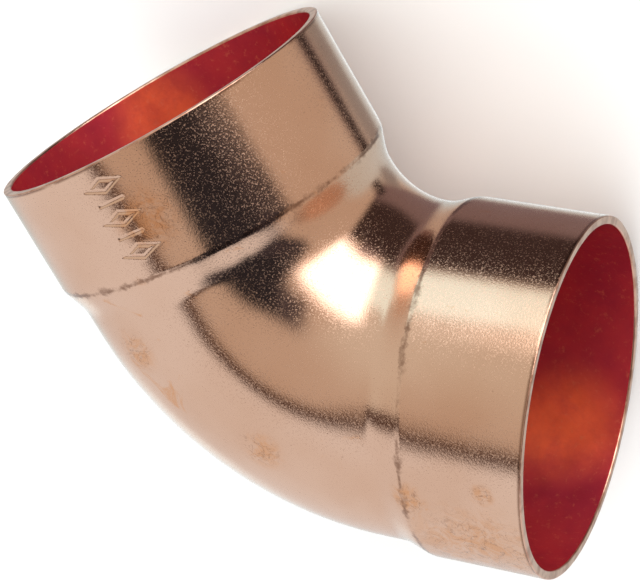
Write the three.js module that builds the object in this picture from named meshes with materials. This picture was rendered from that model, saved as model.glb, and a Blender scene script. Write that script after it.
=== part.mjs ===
// Copper pipe elbow, 60 degrees, with a solder cup at each end, for 1-1/2 in drainage tube.
//
// The elbow is one piece of formed tube: a bend, a short straight each side of it, a shoulder
// where the tube swells, and a plain round cup that ends in a square-cut rim. The wall is equally
// thick all over, so the passage inside follows the outside, and the shoulder is also the stop
// that the tube meets in the cup.
//
// Millimetres, +Z up. The elbow lies on its side with its centreline level. +X runs from one
// mouth to the other, and both mouths turn towards -Y. The origin is on the surface that the
// elbow rests on, at the middle of its length and of its depth.

import * as THREE from 'three';
import { ParametricGeometry } from 'three/addons/geometries/ParametricGeometry.js';
import { mergeVertices } from 'three/addons/utils/BufferGeometryUtils.js';

// Driving dimensions.
const TUBE_DIAMETER = 41.275; // outside, 1-5/8 in: the tube that the bend is formed from
const SOCKET_DIAMETER = 41.4; // inside the cup, a slip fit for the same tube
const WALL = 1.07; // 0.042 in
const BEND_ANGLE = THREE.MathUtils.degToRad(60);
const BEND_RADIUS = 26.4; // to the centreline
const STRAIGHT_LENGTH = 1.6; // from the end of the bend to the shoulder
const SHOULDER_LENGTH = 4.2;
const CUP_LENGTH = 14.7; // from the shoulder's crease to the rim, at the top and the bottom
const SHOULDER_LEAN = 1.2; // how much longer the cup is at the throat, and shorter at the heel

// How finely the round faces are divided.
const SIDES = 60; // around the tube: a multiple of 4, so that no width is lost
const BEND_STEPS = 14; // an even number, so that one ring is at the middle of the bend
const SHOULDER_STEPS = 5;

// What follows from the driving dimensions. Distances run along the centreline, from 0 at the
// middle of the bend, and are negative towards the mouth at -X.
const TUBE_RADIUS = TUBE_DIAMETER / 2;
const CUP_RADIUS = SOCKET_DIAMETER / 2 + WALL;
const HALF_ANGLE = BEND_ANGLE / 2;
const BEND_END = BEND_RADIUS * HALF_ANGLE;
const SHOULDER_START = BEND_END + STRAIGHT_LENGTH;
const MOUTH = SHOULDER_START + SHOULDER_LENGTH + CUP_LENGTH;
const UP = new THREE.Vector3(0, 0, 1);

// The point on the centreline at a distance, and the level direction there that points away
// from the centre of the bend. The middle of the bend is at (0, 0, 0).
function centreline(distance) {
  const angle = THREE.MathUtils.clamp(distance / BEND_RADIUS, -HALF_ANGLE, HALF_ANGLE);
  const beyondBend = distance - BEND_RADIUS * angle;
  const outward = new THREE.Vector3(Math.sin(angle), Math.cos(angle), 0);
  const along = new THREE.Vector3(Math.cos(angle), -Math.sin(angle), 0);
  const point = new THREE.Vector3(0, -BEND_RADIUS, 0)
    .addScaledVector(outward, BEND_RADIUS)
    .addScaledVector(along, beyondBend);
  return { point, outward };
}

// The outside radius part of the way up the shoulder, which leaves the tube smoothly and meets
// the cup at a crease.
function shoulderRadius(share) {
  return TUBE_RADIUS + (CUP_RADIUS - TUBE_RADIUS) * share ** 2 * (2 - share);
}

// The rings of points that the outside is made of, from the middle of the bend to one mouth.
// The shoulder's rings lean, which takes them towards the rim at the heel.
function halfOfRings() {
  const rings = [];
  for (let step = 0; step <= BEND_STEPS / 2; step += 1) {
    const distance = (BEND_END * step) / (BEND_STEPS / 2);
    rings.push({ distance, lean: 0, radius: TUBE_RADIUS });
  }
  for (let step = 0; step <= SHOULDER_STEPS; step += 1) {
    const share = step / SHOULDER_STEPS;
    const distance = SHOULDER_START + SHOULDER_LENGTH * share;
    rings.push({ distance, lean: SHOULDER_LEAN, radius: shoulderRadius(share) });
  }
  rings.push({ distance: MOUTH, lean: 0, radius: CUP_RADIUS });
  return rings;
}

// The rings from the mouth at -X to the mouth at +X.
function outsideRings() {
  const half = halfOfRings();
  const mirrored = half.slice(1).map(({ distance, lean, radius }) => ({
    distance: -distance,
    lean: -lean,
    radius,
  }));
  return [...mirrored.reverse(), ...half];
}

// One closed skin: along the outside from mouth to mouth, over the rim, back along the inside,
// and over the other rim to where it began.
function elbowGeometry() {
  const outside = outsideRings();
  const inside = outside.map((ring) => ({ ...ring, radius: ring.radius - WALL }));
  const rings = [...outside, ...inside.reverse()];

  function skinPoint(u, v, target) {
    const { distance, lean, radius } = rings[Math.round(v * rings.length) % rings.length];
    const turn = (2 * Math.PI * (Math.round(u * SIDES) % SIDES)) / SIDES;
    const { point, outward } = centreline(distance + lean * Math.cos(turn));
    target
      .copy(point)
      .addScaledVector(outward, radius * Math.cos(turn))
      .addScaledVector(UP, radius * Math.sin(turn));
  }

  const geometry = new ParametricGeometry(skinPoint, SIDES, rings.length);
  geometry.deleteAttribute('normal');
  geometry.deleteAttribute('uv');
  const closed = mergeVertices(geometry);
  closed.computeVertexNormals();
  return closed;
}

const copper = new THREE.MeshStandardMaterial({ color: 0xc8956f, roughness: 0.28, metalness: 1 });

const elbowBody = new THREE.Mesh(elbowGeometry(), copper);
elbowBody.name = 'elbow_body';

// The heel of the bend is the furthest back, and the rims on the throat side the furthest front.
const rimFront = centreline(MOUTH).point.y - CUP_RADIUS * Math.cos(HALF_ANGLE);
elbowBody.position.set(0, -(TUBE_RADIUS + rimFront) / 2, CUP_RADIUS);

const elbow = new THREE.Group();
elbow.add(elbowBody);

export default elbow;
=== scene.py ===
"""The looks of a copper pipe elbow: one piece of formed tube, bright outside and red inside.

Everything is in metres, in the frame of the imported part: the elbow lies on its side, +X runs from
mouth to mouth, and both mouths turn towards -Y. Distances along the centreline count from 0 at
the middle of the bend, and turns about it count from 0 at the heel, through a quarter turn at the
top of the elbow, to a half turn at the throat.
"""
import math

import bpy
import numpy as np
from mathutils import Matrix, Vector, noise


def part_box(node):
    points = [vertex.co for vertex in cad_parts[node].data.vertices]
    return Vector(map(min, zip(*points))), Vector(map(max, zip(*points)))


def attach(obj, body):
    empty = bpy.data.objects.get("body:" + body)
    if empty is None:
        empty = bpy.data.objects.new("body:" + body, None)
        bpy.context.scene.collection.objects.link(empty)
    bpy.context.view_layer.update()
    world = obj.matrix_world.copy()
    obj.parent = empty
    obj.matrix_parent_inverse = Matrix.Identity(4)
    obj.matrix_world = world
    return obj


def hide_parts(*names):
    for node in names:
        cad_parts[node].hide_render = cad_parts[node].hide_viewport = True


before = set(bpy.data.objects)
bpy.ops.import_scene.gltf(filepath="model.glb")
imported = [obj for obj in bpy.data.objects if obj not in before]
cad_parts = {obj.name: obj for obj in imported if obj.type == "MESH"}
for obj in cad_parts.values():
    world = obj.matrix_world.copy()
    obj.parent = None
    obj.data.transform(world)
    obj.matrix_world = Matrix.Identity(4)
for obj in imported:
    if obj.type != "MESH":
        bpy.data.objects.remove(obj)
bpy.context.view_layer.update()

MM = 0.001
low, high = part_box("elbow_body")

# The elbow's dimensions, as in the part's own source. The cup's radius comes from the frame.
CUP_RADIUS = (high.z - low.z) / 2
TUBE_RADIUS = 20.6375 * MM
WALL = 1.07 * MM
HALF_ANGLE = math.radians(30)
BEND_RADIUS = 26.4 * MM
STRAIGHT_LENGTH = 1.6 * MM
SHOULDER_LENGTH = 4.2 * MM
CUP_LENGTH = 14.7 * MM
SHOULDER_LEAN = 1.2 * MM
BEND_END = BEND_RADIUS * HALF_ANGLE
SHOULDER_START = BEND_END + STRAIGHT_LENGTH
CREASE = SHOULDER_START + SHOULDER_LENGTH
MOUTH = CREASE + CUP_LENGTH
MIDDLE_OF_BEND = Vector((0, high.y - TUBE_RADIUS, (low.z + high.z) / 2))

# Fine shape that the working model leaves out.
CREASE_BLEND = 0.02 * MM  # how far the shoulder's crease is rounded off
CREASE_GROOVE = 0.035 * MM  # depth of the fine line that the forming die leaves at the crease
GROOVE_WIDTH = 0.16 * MM
OUTER_ROUND = 0.16 * MM  # radius on the rim's outer corner
INNER_ROUND = 0.24 * MM  # radius on the rim's inner corner
WAVE_DEPTH = 0.035 * MM  # how much the drawn wall waves
WAVE_LENGTH = 9 * MM

# The stamped mark on the cup at +X: a row of plain shapes along the cup, just above the side.
MARK_START = 1.9 * MM  # from the rim
MARK_PITCH = 2.15 * MM
MARK_TURN = math.radians(97)
MARK_HALF_HEIGHT = 2.1 * MM
MARK_HALF_WIDTH = 0.78 * MM
MARK_STROKE = 0.36 * MM
MARK_DEPTH = 0.13 * MM
MARK_SHAPES = ("lozenge", "bar", "lozenge", "bar", "lozenge")

# Where handling has scuffed the outside, and where an orange glow is painted on the inside for the
# light of the other mouth reflected in the wall: the distance along the centreline in mm, the turn
# in degrees and the reach in mm of each place.
SCUFFED_PLACES = (
    (-29, 55, 12),
    (-29.6, 86, 2),
    (-20.5, 79, 3),
    (-3.2, 76, 4),
    (26, 104, 5),
    (12, 68, 4),
)
PAINTED_GLOW_PLACES = (
    (-26.5, 313, 10),
    (29.5, 308, 8),
)

# Fine grain of the metal.
OUTSIDE_GRAIN = 0.010 * MM
INSIDE_GRAIN = 0.02 * MM
CUT_MARKS = 0.04 * MM


# ---------------------------------------------------------------- shape of the elbow

def smooth(x):
    """0 to 1 as x goes from 0 to 1, level at both ends."""
    x = np.clip(x, 0, 1)
    return x * x * (3 - 2 * x)


def steps(*spans):
    """Values from the first span's start to the last one's end: each span is (start, end, step)."""
    values = [spans[0][0]]
    for start, end, step in spans:
        count = max(1, round(abs(end - start) / step))
        values += [start + (end - start) * (i + 1) / count for i in range(count)]
    return np.array(values)


def outside_radius(distance):
    """The outside radius, with the shoulder's crease slightly rounded."""
    share = np.maximum((np.abs(distance) - SHOULDER_START) / SHOULDER_LENGTH, 0)
    swell = (CUP_RADIUS - TUBE_RADIUS) * share**2 * (2 - np.minimum(share, 1.2))
    gap = swell - (CUP_RADIUS - TUBE_RADIUS)
    blend = np.maximum(CREASE_BLEND - np.abs(gap), 0) ** 2 / (4 * CREASE_BLEND)
    line = CREASE_GROOVE * np.exp(-(((np.abs(distance) - CREASE) / GROOVE_WIDTH) ** 2))
    return CUP_RADIUS + np.minimum(gap, 0) - blend - line


def leaning(distance, turn):
    """The same distance once the shoulder's lean is added, which fades to nothing both ways."""
    size = np.abs(distance)
    fade_in = smooth(size / SHOULDER_START)
    fade_out = np.clip((MOUTH - size) / CUP_LENGTH, 0, 1)
    return distance + np.sign(distance) * SHOULDER_LEAN * fade_in * fade_out * np.cos(turn)


def on_elbow(distance, turn, radius):
    """Points of the elbow, as an array whose last axis is x, y, z."""
    angle = np.clip(distance / BEND_RADIUS, -HALF_ANGLE, HALF_ANGLE)
    beyond = distance - BEND_RADIUS * angle
    reach = BEND_RADIUS + radius * np.cos(turn)
    x = reach * np.sin(angle) + beyond * np.cos(angle)
    y = reach * np.cos(angle) - beyond * np.sin(angle) - BEND_RADIUS
    z = radius * np.sin(turn)
    return np.stack([x, y, z], axis=-1) + np.array(MIDDLE_OF_BEND)


def lozenge(along, across):
    """Distance from the outline of a lozenge."""
    edge = np.abs(along) / MARK_HALF_WIDTH + np.abs(across) / MARK_HALF_HEIGHT - 1
    slope = math.hypot(1 / MARK_HALF_WIDTH, 1 / MARK_HALF_HEIGHT)
    return np.abs(edge) / slope


def bar(along, across):
    """Distance from a straight bar."""
    return np.hypot(along, np.maximum(np.abs(across) - 0.75 * MARK_HALF_HEIGHT, 0))


def mark_depth(distance, turn):
    """How deep the stamped mark is: grooves with a low ridge thrown up beside them."""
    across = (turn - MARK_TURN) * CUP_RADIUS
    depth = np.zeros(np.broadcast(distance, turn).shape)
    for place, shape in enumerate(MARK_SHAPES):
        along = MOUTH - distance - MARK_START - MARK_PITCH * place - MARK_HALF_WIDTH
        nearest = {"lozenge": lozenge, "bar": bar}[shape](along, across)
        groove = smooth(1.5 - nearest / (MARK_STROKE / 2))
        ridge = smooth(1 - np.abs(nearest / MARK_STROKE - 1) * 2)
        depth = np.maximum(depth, MARK_DEPTH * groove) - 0.2 * MARK_DEPTH * ridge * (depth == 0)
    return depth


def wave(points):
    """0 to 1: the slow waves left in the wall by drawing and bending."""
    flat = points.reshape(-1, 3) / WAVE_LENGTH
    values = [noise.noise(Vector(p)) + 0.4 * noise.noise(Vector(p * 2.7)) for p in flat]
    return 0.5 + 0.5 * np.clip(np.array(values), -1, 1).reshape(points.shape[:-1])


def outside_skin(turns):
    """Points of the outside, from the rim at -X to the rim at +X."""
    crease_zone = 0.8 * MM
    coarse, medium, fine = 0.9 * MM, 0.5 * MM, 0.1 * MM
    plain = steps(
        (0, BEND_END, coarse),
        (BEND_END, CREASE - crease_zone, medium),
        (CREASE - crease_zone, CREASE + crease_zone, fine),
        (CREASE + crease_zone, MOUTH - 3 * OUTER_ROUND, coarse),
        (MOUTH - 3 * OUTER_ROUND, MOUTH - OUTER_ROUND, OUTER_ROUND),
    )
    marked = steps(
        (0, BEND_END, coarse),
        (BEND_END, CREASE - crease_zone, medium),
        (CREASE - crease_zone, MOUTH - OUTER_ROUND, fine),
    )
    distances = np.concatenate([-plain[:0:-1], marked])[:, None]
    radius = outside_radius(distances)
    wavy = wave(on_elbow(distances, turns, radius))
    radius = radius - WAVE_DEPTH * wavy - mark_depth(distances, turns)
    points = on_elbow(leaning(distances, turns), turns, np.minimum(radius, CUP_RADIUS))
    return points, distances


def inside_skin(turns):
    """Points of the inside, from the rim at +X back to the rim at -X."""
    past_crease = CREASE + 1 * MM
    half = steps(
        (0, BEND_END, 1.2 * MM),
        (BEND_END, past_crease, 0.4 * MM),
        (past_crease, MOUTH - 3 * INNER_ROUND, 1.5 * MM),
        (MOUTH - 3 * INNER_ROUND, MOUTH - INNER_ROUND, INNER_ROUND),
    )
    distances = np.concatenate([half[::-1], -half[1:]])[:, None]
    radius = outside_radius(distances) - WALL
    wavy = wave(on_elbow(distances, turns, radius))
    return on_elbow(leaning(distances, turns), turns, radius + WAVE_DEPTH * wavy), distances


def rim_skin(turns, side):
    """Points of one square-cut rim with its corners rounded: outside to inside at +X, back at -X."""
    inner_radius = CUP_RADIUS - WALL
    rings = []
    for quarter in (0.35, 0.7, 1.0):
        angle = quarter * math.pi / 2
        back = OUTER_ROUND * (1 - math.sin(angle))
        rings.append((MOUTH - back, CUP_RADIUS - OUTER_ROUND * (1 - math.cos(angle))))
    for share in (0.25, 0.5, 0.75):
        rings.append((MOUTH, CUP_RADIUS - OUTER_ROUND - share * (WALL - OUTER_ROUND - INNER_ROUND)))
    for quarter in (1.0, 0.7, 0.35):
        angle = quarter * math.pi / 2
        back = INNER_ROUND * (1 - math.sin(angle))
        rings.append((MOUTH - back, inner_radius + INNER_ROUND * (1 - math.cos(angle))))
    distances, radii = (np.array(column)[:, None] for column in zip(*rings))
    distances, radii = side * distances[::side], radii[::side]
    return on_elbow(distances, turns, radii), distances


def make_elbow():
    """One closed skin: outside, rim at +X, inside, rim at -X, each with its own material."""
    degree = math.pi / 180
    turns = steps(
        (0, 84 * degree, 2 * degree),
        (84 * degree, 110 * degree, 0.2 * degree),
        (110 * degree, 360 * degree, 2 * degree),
    )[:-1]
    skins = [
        (*outside_skin(turns), 0),
        (*rim_skin(turns, 1), 2),
        (*inside_skin(turns), 1),
        (*rim_skin(turns, -1), 2),
    ]
    rows = np.concatenate([points for points, _, _ in skins])
    # The strip of faces that leaves a row has the material of that row's skin, and the strip
    # from the outside's or inside's last row is part of the rim.
    materials = []
    for (points, _, material), (_, _, following) in zip(skins, skins[1:] + skins[:1]):
        materials += [material] * (len(points) - 1) + [max(material, following)]
    row_count, column_count = len(rows), len(turns)
    row = np.arange(row_count)[:, None]
    column = np.arange(column_count)[None, :]
    next_row = (row + 1) % row_count
    next_column = (column + 1) % column_count
    corners = [
        row * column_count + column,
        row * column_count + next_column,
        next_row * column_count + next_column,
        next_row * column_count + column,
    ]
    faces = np.stack(corners, axis=-1).reshape(-1, 4)
    mesh = bpy.data.meshes.new("elbow")
    mesh.from_pydata(rows.reshape(-1, 3).tolist(), [], faces.tolist())
    mesh.polygons.foreach_set("material_index", np.repeat(materials, column_count))
    mesh.polygons.foreach_set("use_smooth", np.ones(len(faces), bool))
    along = mesh.attributes.new("along", "FLOAT", "POINT")
    along_rows = np.concatenate([distances[:, 0] for _, distances, _ in skins])
    along.data.foreach_set("value", np.repeat(along_rows / MM, column_count).astype(np.float32))
    mesh.update()
    elbow = bpy.data.objects.new("elbow", mesh)
    bpy.context.scene.collection.objects.link(elbow)
    return elbow


# ---------------------------------------------------------------- materials

class Nodes:
    """A short way to add and join the nodes of a tree."""

    def __init__(self, tree):
        self.tree = tree
        tree.nodes.clear()

    def add(self, kind, settings=None, **inputs):
        node = self.tree.nodes.new(kind)
        for name, value in (settings or {}).items():
            setattr(node, name, value)
        for name, value in inputs.items():
            self.put(node, name.replace("_", " "), value)
        return node

    def put(self, node, name, value):
        socket = node.inputs[int(name) if name.isdigit() else name]
        if isinstance(value, bpy.types.NodeSocket):
            self.tree.links.new(value, socket)
        else:
            socket.default_value = value

    def math(self, operation, first, second=0.0):
        node = self.add("ShaderNodeMath", {"operation": operation})
        self.put(node, "0", first)
        self.put(node, "1", second)
        return node.outputs[0]

    def dot(self, first, second):
        node = self.add("ShaderNodeVectorMath", {"operation": "DOT_PRODUCT"})
        self.put(node, "0", first)
        self.put(node, "1", second)
        return node.outputs["Value"]

    def noise(self, where, scale, detail=2.0, roughness=0.5, distortion=0.0):
        node = self.add("ShaderNodeTexNoise", Vector=where, Scale=scale, Detail=detail,
                        Roughness=roughness, Distortion=distortion)
        return node.outputs["Fac"]

    def ramp(self, value, low_end, high_end, start=0.0, end=1.0):
        node = self.add("ShaderNodeMapRange", {"interpolation_type": "SMOOTHSTEP"})
        for name, given in zip(("Value", "From Min", "From Max", "To Min", "To Max"),
                               (value, low_end, high_end, start, end)):
            self.put(node, name, given)
        return node.outputs[0]

    def mix(self, share, first, second):
        node = self.add("ShaderNodeMix", {"data_type": "RGBA"})
        for name, value in (("0", share), ("6", first), ("7", second)):
            self.put(node, name, value)
        return node.outputs[2]


def metal(name):
    """A new metal material: its nodes, its shader and the place on the object."""
    material = bpy.data.materials.new(name)
    material.use_nodes = True
    nodes = Nodes(material.node_tree)
    shader = nodes.add("ShaderNodeBsdfPrincipled", Metallic=1.0)
    output = nodes.add("ShaderNodeOutputMaterial")
    nodes.tree.links.new(shader.outputs[0], output.inputs["Surface"])
    where = nodes.add("ShaderNodeTexCoord").outputs["Object"]
    return material, nodes, shader, where


def colour(red, green, blue):
    return (red, green, blue, 1.0)


def gathered_round(nodes, where, places, radius):
    """1 at the given places on the wall, fading to 0 at each one's reach."""
    gathered = 0.0
    for distance, turn, reach in places:
        place = on_elbow(np.array(distance * MM), math.radians(turn), radius)
        away = nodes.add("ShaderNodeVectorMath", {"operation": "DISTANCE"})
        nodes.put(away, "0", where)
        nodes.put(away, "1", place)
        near = nodes.ramp(away.outputs["Value"], reach * MM, 0.3 * reach * MM)
        gathered = nodes.math("MAXIMUM", gathered, near)
    return gathered


def outside_copper():
    """Bright satin copper: fine grain, slow changes of tint, stains, dark specks and scuffs, and
    painted shade in the crease and just behind the rim.
    """
    material, nodes, shader, where = metal("copper_outside")
    along = nodes.add("ShaderNodeAttribute", {"attribute_name": "along"}).outputs["Fac"]
    tint = nodes.ramp(nodes.noise(where, 55, 3), 0.35, 0.65)
    copper = nodes.mix(tint, colour(0.77, 0.475, 0.335), colour(0.83, 0.54, 0.40))
    gathered = gathered_round(nodes, where, SCUFFED_PLACES, CUP_RADIUS)
    swirl = nodes.math("SUBTRACT", nodes.noise(where, 420, 4, 0.6, 1.5), 0.52)
    scuff = nodes.math("MULTIPLY", gathered, nodes.ramp(nodes.math("ABSOLUTE", swirl), 0.022, 0.004))
    stain = nodes.ramp(nodes.noise(where, 160, 6, 0.7, 0.8), 0.62, 0.74)
    stained = nodes.ramp(nodes.noise(where, 330, 6, 0.75, 1.2), 0.40, 0.62, 0.1, 1.0)
    stain = nodes.math("MAXIMUM", stain, nodes.math("MULTIPLY", gathered, stained))
    copper = nodes.mix(nodes.math("MULTIPLY", stain, 0.8), copper, colour(0.76, 0.36, 0.17))
    # Painted shade sits in the crease and just behind the rim, in broken lengths; the dark specks
    # and the scuffs are mixed in with it.
    from_crease = nodes.math("SUBTRACT", nodes.math("ABSOLUTE", along), CREASE / MM)
    reach = nodes.ramp(nodes.noise(where, 800, 3, 0.7), 0.40, 0.70, 0.30, 1.0)
    nearness = nodes.math("DIVIDE", nodes.math("ABSOLUTE", from_crease), reach)
    crease_shade = nodes.ramp(nearness, 1.0, 0.1)
    broken = nodes.ramp(nodes.noise(where, 170, 6, 0.75), 0.37, 0.56)
    # A painted shade line just behind each rim, broken into lengths by noise.
    rim_shade = nodes.ramp(nodes.math("ABSOLUTE", along), MOUTH / MM - 0.55, MOUTH / MM - 0.2)
    rim_shade_breaks = nodes.ramp(nodes.noise(where, 60, 5, 0.7), 0.44, 0.54)
    dirt_and_shade = nodes.math("MULTIPLY", crease_shade, broken)
    dirt_and_shade = nodes.math("MAXIMUM", dirt_and_shade, nodes.math("MULTIPLY", rim_shade, rim_shade_breaks))
    speck = nodes.ramp(nodes.noise(where, 1100, 3, 0.7), 0.70, 0.76)
    dirt_and_shade = nodes.math("MAXIMUM", dirt_and_shade, nodes.math("MULTIPLY", speck, 0.6))
    dirt_and_shade = nodes.math("MAXIMUM", dirt_and_shade, nodes.math("MULTIPLY", scuff, 0.6))
    # This dark colour paints shade into the crease and behind the rim, and also gives the specks and
    # scuffs their colour.
    copper = nodes.mix(nodes.math("MULTIPLY", dirt_and_shade, 0.8), copper, colour(0.22, 0.10, 0.06))
    nodes.put(shader, "Base Color", copper)
    # The tops of the grain are rough, so they stay lit where the rest mirrors something dark.
    grain = nodes.noise(where, 5200, 2, 0.65)
    nodes.put(shader, "Roughness", nodes.ramp(grain, 0.46, 0.74, 0.08, 0.42))
    bump = nodes.add("ShaderNodeBump", Strength=1.0, Distance=OUTSIDE_GRAIN, Height=grain)
    nodes.put(shader, "Normal", bump.outputs[0])
    return material


def inside_copper():
    """The passage: copper under red scale, its red partly painted in for light bounced round the
    tube, mottled, with a painted orange glow where the other mouth's light is reflected.
    """
    material, nodes, shader, where = metal("copper_inside")
    nodes.put(shader, "Metallic", 0.55)
    nodes.put(shader, "Specular IOR Level", 0.2)
    nodes.put(shader, "Specular Tint", colour(0.8, 0.2, 0.18))
    # This red is partly the scale's own colour and partly painted in for the reddening that light
    # takes as it bounces round inside the tube.
    tint = nodes.ramp(nodes.noise(where, 110, 5, 0.6), 0.3, 0.7)
    red = nodes.mix(tint, colour(0.38, 0.028, 0.050), colour(0.52, 0.042, 0.052))
    # A painted glow: orange where the light from the other mouth is reflected in the inner wall.
    painted_glow = gathered_round(nodes, where, PAINTED_GLOW_PLACES, CUP_RADIUS - WALL)
    patchy = nodes.ramp(nodes.noise(where, 120, 5, 0.65), 0.25, 0.65, 0.35, 1.0)
    red = nodes.mix(nodes.math("MULTIPLY", painted_glow, patchy), red, colour(0.94, 0.155, 0.06))
    fleck = nodes.ramp(nodes.noise(where, 1300, 3, 0.7), 0.55, 0.75)
    red = nodes.mix(nodes.math("MULTIPLY", fleck, 0.3), red, colour(0.80, 0.24, 0.12))
    nodes.put(shader, "Base Color", red)
    nodes.put(shader, "Roughness", nodes.ramp(nodes.noise(where, 300, 3), 0.3, 0.7, 0.32, 0.45))
    grain = nodes.noise(where, 2200, 3, 0.6)
    bump = nodes.add("ShaderNodeBump", Strength=1.0, Distance=INSIDE_GRAIN, Height=grain)
    nodes.put(shader, "Normal", bump.outputs[0])
    return material


def rim_copper():
    """The cut edge: paler and brighter, with the marks of the cut."""
    material, nodes, shader, where = metal("copper_rim")
    worn = nodes.ramp(nodes.noise(where, 500, 3), 0.4, 0.65)
    pale, dull = colour(0.82, 0.50, 0.37), colour(0.55, 0.28, 0.19)
    nodes.put(shader, "Base Color", nodes.mix(worn, pale, dull))
    nodes.put(shader, "Roughness", 0.3)
    cut = nodes.noise(where, 1800, 2)
    bump = nodes.add("ShaderNodeBump", Strength=1.0, Distance=CUT_MARKS, Height=cut)
    nodes.put(shader, "Normal", bump.outputs[0])
    return material


# ---------------------------------------------------------------- studio

def direction(azimuth, elevation):
    """From the elbow towards a place in the studio, in degrees: azimuth 0 is -Y, 90 is +X."""
    a, e = math.radians(azimuth), math.radians(elevation)
    return Vector((math.sin(a) * math.cos(e), -math.cos(a) * math.cos(e), math.sin(e)))


def make_camera():
    """The view of the photograph: from the throat side, high up, and turned well over."""
    azimuth, elevation, roll = -8.28, 52.86, -138.07
    distance = 298.2 * MM
    camera_data = bpy.data.cameras.new("camera")
    camera_data.lens = 138.7
    camera_data.sensor_width = 36.0
    camera_data.clip_start = 10 * MM
    camera = bpy.data.objects.new("camera", camera_data)
    bpy.context.scene.collection.objects.link(camera)
    turn = Matrix.Rotation(math.radians(azimuth), 4, "Z")
    tilt = Matrix.Rotation(math.radians(90 - elevation), 4, "X")
    over = Matrix.Rotation(math.radians(roll), 4, "Z")
    aim = (low + high) / 2
    look = turn @ tilt @ over
    aside = look @ Vector((-2.58 * MM, -0.11 * MM, distance))
    camera.matrix_world = Matrix.Translation(aim + aside) @ look
    bpy.context.scene.camera = camera


def make_floor_light():
    """A wide soft lamp overhead for the floor; the metal reflects the studio's cards instead."""
    lamp_data = bpy.data.lights.new("floor light", "AREA")
    lamp_data.size = 6.0
    lamp_data.energy = 125
    lamp = bpy.data.objects.new("floor light", lamp_data)
    lamp.location = (0, 0, 2.5)
    lamp.visible_glossy = False
    bpy.context.scene.collection.objects.link(lamp)


def make_floor():
    """A plain pale floor, which the metal doesn't mirror: it reflects the tent below as well."""
    half = 8.0
    mesh = bpy.data.meshes.new("floor")
    corners = [(-half, -half, 0), (half, -half, 0), (half, half, 0), (-half, half, 0)]
    mesh.from_pydata(corners, [], [(0, 1, 2, 3)])
    floor = bpy.data.objects.new("floor", mesh)
    bpy.context.scene.collection.objects.link(floor)
    material = bpy.data.materials.new("floor")
    material.use_nodes = True
    shader = material.node_tree.nodes["Principled BSDF"]
    shader.inputs["Base Color"].default_value = colour(0.9, 0.9, 0.9)
    shader.inputs["Roughness"].default_value = 0.9
    mesh.materials.append(material)
    floor.visible_glossy = False


def make_studio():
    """A light tent of soft cards, far away all round, and plain white behind for the camera.

    Each card is a soft-edged rectangle of sky: the azimuth, elevation and roll of its middle, its
    half width and half height and the width of its soft edge, all in degrees, and its colour.
    Later cards hang in front of earlier ones.
    """
    tent = (0.60, 0.52, 0.44)
    cards = [
        ("side wall", 80, 40, 0, 40, 24, 32, (0.70, 0.69, 0.62)),
        ("seam round the back wall", -168, 8, 0, 57.5, 64.2, 4, (0.10, 0.065, 0.055)),
        ("back wall", -150, 2, 0, 68, 61.6, 5, (0.80, 0.83, 0.85)),
        ("back wall below", -150, -66, 0, 60, 20, 18, (0.63, 0.72, 0.73)),
        ("bright strip", 172, -45, 0, 6, 28, 14, (1.05, 1.20, 1.25)),
        ("gap below", 30, -47, 9, 38, 39, 8, (0.23, 0.18, 0.19)),
        ("gap below, near end", -72, -77, 0, 9, 9, 8, (0.32, 0.31, 0.30)),
        ("black card below", 18, -34, 0, 38, 22, 10, (0.05, 0.035, 0.035)),
        ("black card below, far corner", -47, -58, 0, 9, 5, 6, (0.04, 0.03, 0.03)),
        ("black card above, low end", -61, 36, 0, 22, 17, 6, (0.05, 0.045, 0.055)),
        ("black card above, far end", -112, 53, 0, 10, 8, 8, (0.05, 0.045, 0.055)),
        ("black card above, near end", -20, 57, 0, 14, 10, 10, (0.08, 0.07, 0.08)),
        ("black card above", -68, 57, 0, 22, 17, 6, (0.025, 0.025, 0.032)),
        ("fill light", 56, 9, 0, 18, 13, 8, (1.05, 1.38, 1.42)),
        ("soft box", 9, 18, 0, 32, 20, 13, (3.3, 3.3, 3.3)),
    ]
    world = bpy.data.worlds.new("studio")
    world.use_nodes = True
    bpy.context.scene.world = world
    nodes = Nodes(world.node_tree)
    towards = nodes.add("ShaderNodeTexCoord").outputs["Generated"]
    sky = colour(*tent)
    for _, azimuth, elevation, roll, half_width, half_height, soft, light in cards:
        middle = direction(azimuth, elevation)
        level = direction(azimuth + 90, 0)
        upright = middle.cross(level) * -1
        roll = math.radians(roll)
        right = level * math.cos(roll) + upright * math.sin(roll)
        up = upright * math.cos(roll) - level * math.sin(roll)
        aside = nodes.math("ARCTAN2", nodes.dot(towards, right), nodes.dot(towards, middle))
        above = nodes.math("ARCSINE", nodes.dot(towards, up))
        shares = []
        for angle, half in ((aside, half_width), (above, half_height)):
            ends = (math.radians(half + soft / 2), math.radians(half - soft / 2))
            shares.append(nodes.ramp(nodes.math("ABSOLUTE", angle), *ends))
        sky = nodes.mix(nodes.math("MULTIPLY", *shares), sky, colour(*light))
    lights = nodes.add("ShaderNodeBackground", Color=sky, Strength=1.0)
    plain = nodes.add("ShaderNodeBackground", Color=colour(1, 1, 1), Strength=1.0)
    seen = nodes.add("ShaderNodeLightPath").outputs["Is Camera Ray"]
    both = nodes.add("ShaderNodeMixShader")
    nodes.put(both, "0", seen)
    nodes.put(both, "1", lights.outputs[0])
    nodes.put(both, "2", plain.outputs[0])
    output = nodes.add("ShaderNodeOutputWorld")
    nodes.put(output, "Surface", both.outputs[0])


elbow = make_elbow()
for make_material in (outside_copper, inside_copper, rim_copper):
    elbow.data.materials.append(make_material())
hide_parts("elbow_body")
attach(elbow, "root")
make_camera()
make_floor()
make_floor_light()
make_studio()
bpy.context.scene.view_settings.view_transform = "Standard"
bpy.context.scene.cycles.denoising_prefilter = "NONE"  # keeps the metal's fine grain
